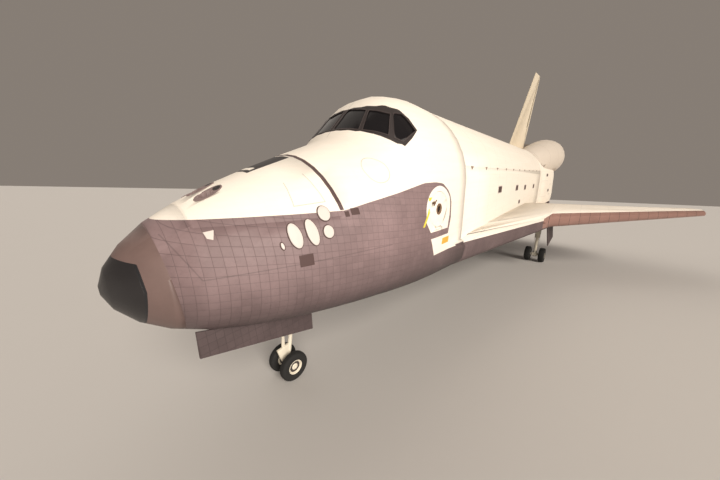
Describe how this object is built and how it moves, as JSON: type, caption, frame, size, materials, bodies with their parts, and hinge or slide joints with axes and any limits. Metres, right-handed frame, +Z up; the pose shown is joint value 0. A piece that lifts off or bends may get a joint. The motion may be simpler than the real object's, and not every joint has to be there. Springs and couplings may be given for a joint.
{
  "type": "space shuttle orbiter",
  "caption": "Winged space shuttle orbiter standing on its landing gear, with payload bay doors, side hatch, elevons, body flap and split rudder that move.",
  "frame": {"origin": "on the ground below the middle of the overall box, the wheels' lowest points at z = 0", "axes": "+X to port, +Y aft, +Z up; the airframe stands 3.5 degrees nose-down on its gear"},
  "size_m": [23.7744, 36.4324, 17.9417],
  "materials": {
    "white_skin": "matt white tile and blanket skin",
    "black_tile": "matt black tile",
    "carbon_edge": "satin grey-brown carbon",
    "cabin_grey": "matt grey",
    "window_glass": "dark clear",
    "gear_metal": "semi-gloss cream",
    "nozzle_metal": "heat-tinted",
    "tyre_rubber": "matt"
  },
  "bodies": {
    "airframe": {"nose_cap": "carbon_edge", "thruster_module": "white_skin", "forward_fuselage": "white_skin", "window_front_port": "window_glass", "window_front_starboard": "window_glass", "window_middle_port": "window_glass", "window_middle_starboard": "window_glass", "window_side_port": "window_glass", "window_side_starboard": "window_glass", "flight_deck": "cabin_grey", "mid_fuselage": "white_skin", "bay_bulkhead_front": "cabin_grey", "bay_bulkhead_aft": "cabin_grey", "aft_fuselage": "white_skin", "engine_top": "nozzle_metal", "engine_port": "nozzle_metal", "engine_starboard": "nozzle_metal", "manoeuvring_pod_port": "white_skin", "manoeuvring_pod_starboard": "white_skin", "manoeuvring_nozzle_port": "nozzle_metal", "manoeuvring_nozzle_starboard": "nozzle_metal", "base_shield": "black_tile", "wing_port": "white_skin", "wing_starboard": "white_skin", "leading_edge_port": "carbon_edge", "leading_edge_starboard": "carbon_edge", "fin": "white_skin", "nose_strut": "gear_metal", "nose_brace": "gear_metal", "main_strut_port": "gear_metal", "main_strut_starboard": "gear_metal", "main_brace_port": "gear_metal", "main_brace_starboard": "gear_metal", "nose_door_port": "black_tile", "nose_door_starboard": "black_tile", "main_door_port": "black_tile", "main_door_starboard": "black_tile"},
    "side_hatch": {"side_hatch": "white_skin"},
    "bay_door_port": {"bay_door_port": "white_skin"},
    "bay_door_starboard": {"bay_door_starboard": "white_skin"},
    "elevon_inner_port": {"elevon_inner_port": "white_skin"},
    "elevon_outer_port": {"elevon_outer_port": "white_skin"},
    "elevon_inner_starboard": {"elevon_inner_starboard": "white_skin"},
    "elevon_outer_starboard": {"elevon_outer_starboard": "white_skin"},
    "body_flap": {"body_flap": "black_tile"},
    "rudder_shaft": {"rudder_shaft": "gear_metal"},
    "rudder_port": {"rudder_port": "white_skin"},
    "rudder_starboard": {"rudder_starboard": "white_skin"},
    "nose_fork": {"nose_fork": "gear_metal"},
    "nose_wheels": {"nose_hubs": "gear_metal", "nose_tyre_port": "tyre_rubber", "nose_tyre_starboard": "tyre_rubber"},
    "main_wheels_port": {"main_hubs_port": "gear_metal", "main_tyre_outer_port": "tyre_rubber", "main_tyre_inner_port": "tyre_rubber"},
    "main_wheels_starboard": {"main_hubs_starboard": "gear_metal", "main_tyre_outer_starboard": "tyre_rubber", "main_tyre_inner_starboard": "tyre_rubber"}
  },
  "joints": [
    {"name": "side_hatch_swing", "type": "hinge", "parent": "airframe", "child": "side_hatch", "pos_m": [2.63906, -11.38279, 4.27033], "axis": [0, 0.9981, 0.061], "range_deg": [0, 90]},
    {"name": "bay_door_port_swing", "type": "hinge", "parent": "airframe", "child": "bay_door_port", "pos_m": [2.59334, -0.35984, 6.698], "axis": [0, 0.9981, 0.061], "range_deg": [0, 175.5]},
    {"name": "bay_door_starboard_swing", "type": "hinge", "parent": "airframe", "child": "bay_door_starboard", "pos_m": [-2.59334, -0.35984, 6.698], "axis": [0, -0.9981, -0.061], "range_deg": [0, 175.5]},
    {"name": "elevon_inner_port_tilt", "type": "hinge", "parent": "airframe", "child": "elevon_inner_port", "pos_m": [5.6134, 11.03905, 4.22747], "axis": [0.9993, -0.0023, 0.0383], "range_deg": [-20, 35]},
    {"name": "elevon_outer_port_tilt", "type": "hinge", "parent": "airframe", "child": "elevon_outer_port", "pos_m": [9.8552, 11.02911, 4.38988], "axis": [0.9993, -0.0023, 0.0383], "range_deg": [-20, 35]},
    {"name": "elevon_inner_starboard_tilt", "type": "hinge", "parent": "airframe", "child": "elevon_inner_starboard", "pos_m": [-5.6134, 11.03905, 4.22747], "axis": [0.9993, 0.0023, -0.0383], "range_deg": [-20, 35]},
    {"name": "elevon_outer_starboard_tilt", "type": "hinge", "parent": "airframe", "child": "elevon_outer_starboard", "pos_m": [-9.8552, 11.02911, 4.38988], "axis": [0.9993, 0.0023, -0.0383], "range_deg": [-20, 35]},
    {"name": "body_flap_tilt", "type": "hinge", "parent": "airframe", "child": "body_flap", "pos_m": [0, 14.64846, 4.2949], "axis": [1, 0, 0], "range_deg": [-22.55, 11.7]},
    {"name": "rudder_turn", "type": "hinge", "parent": "airframe", "child": "rudder_shaft", "pos_m": [0, 15.16014, 14.55608], "axis": [0, 0.5143, 0.8576], "range_deg": [-27.1, 27.1]},
    {"name": "speed_brake_port", "type": "hinge", "parent": "rudder_shaft", "child": "rudder_port", "pos_m": [0, 15.16014, 14.55608], "axis": [0, -0.5143, -0.8576], "range_deg": [0, 49.3]},
    {"name": "speed_brake_starboard", "type": "hinge", "parent": "rudder_shaft", "child": "rudder_starboard", "pos_m": [0, 15.16014, 14.55608], "axis": [0, 0.5143, 0.8576], "range_deg": [0, 49.3]},
    {"name": "nose_steer", "type": "hinge", "parent": "airframe", "child": "nose_fork", "pos_m": [0, -14.8109, 0.4064], "axis": [0, 0.12, 0.9928], "range_deg": [-10, 10]},
    {"name": "nose_wheels_spin", "type": "hinge", "parent": "nose_fork", "child": "nose_wheels", "pos_m": [0, -14.8109, 0.4064], "axis": [1, 0, 0], "continuous": true},
    {"name": "main_wheels_port_spin", "type": "hinge", "parent": "airframe", "child": "main_wheels_port", "pos_m": [3.4544, 5.79184, 0.56515], "axis": [1, 0, 0], "continuous": true},
    {"name": "main_wheels_starboard_spin", "type": "hinge", "parent": "airframe", "child": "main_wheels_starboard", "pos_m": [-3.4544, 5.79184, 0.56515], "axis": [1, 0, 0], "continuous": true}
  ],
  "couplings": [
    {"joint": "speed_brake_starboard", "follows": "speed_brake_port", "ratio": 1}
  ]
}
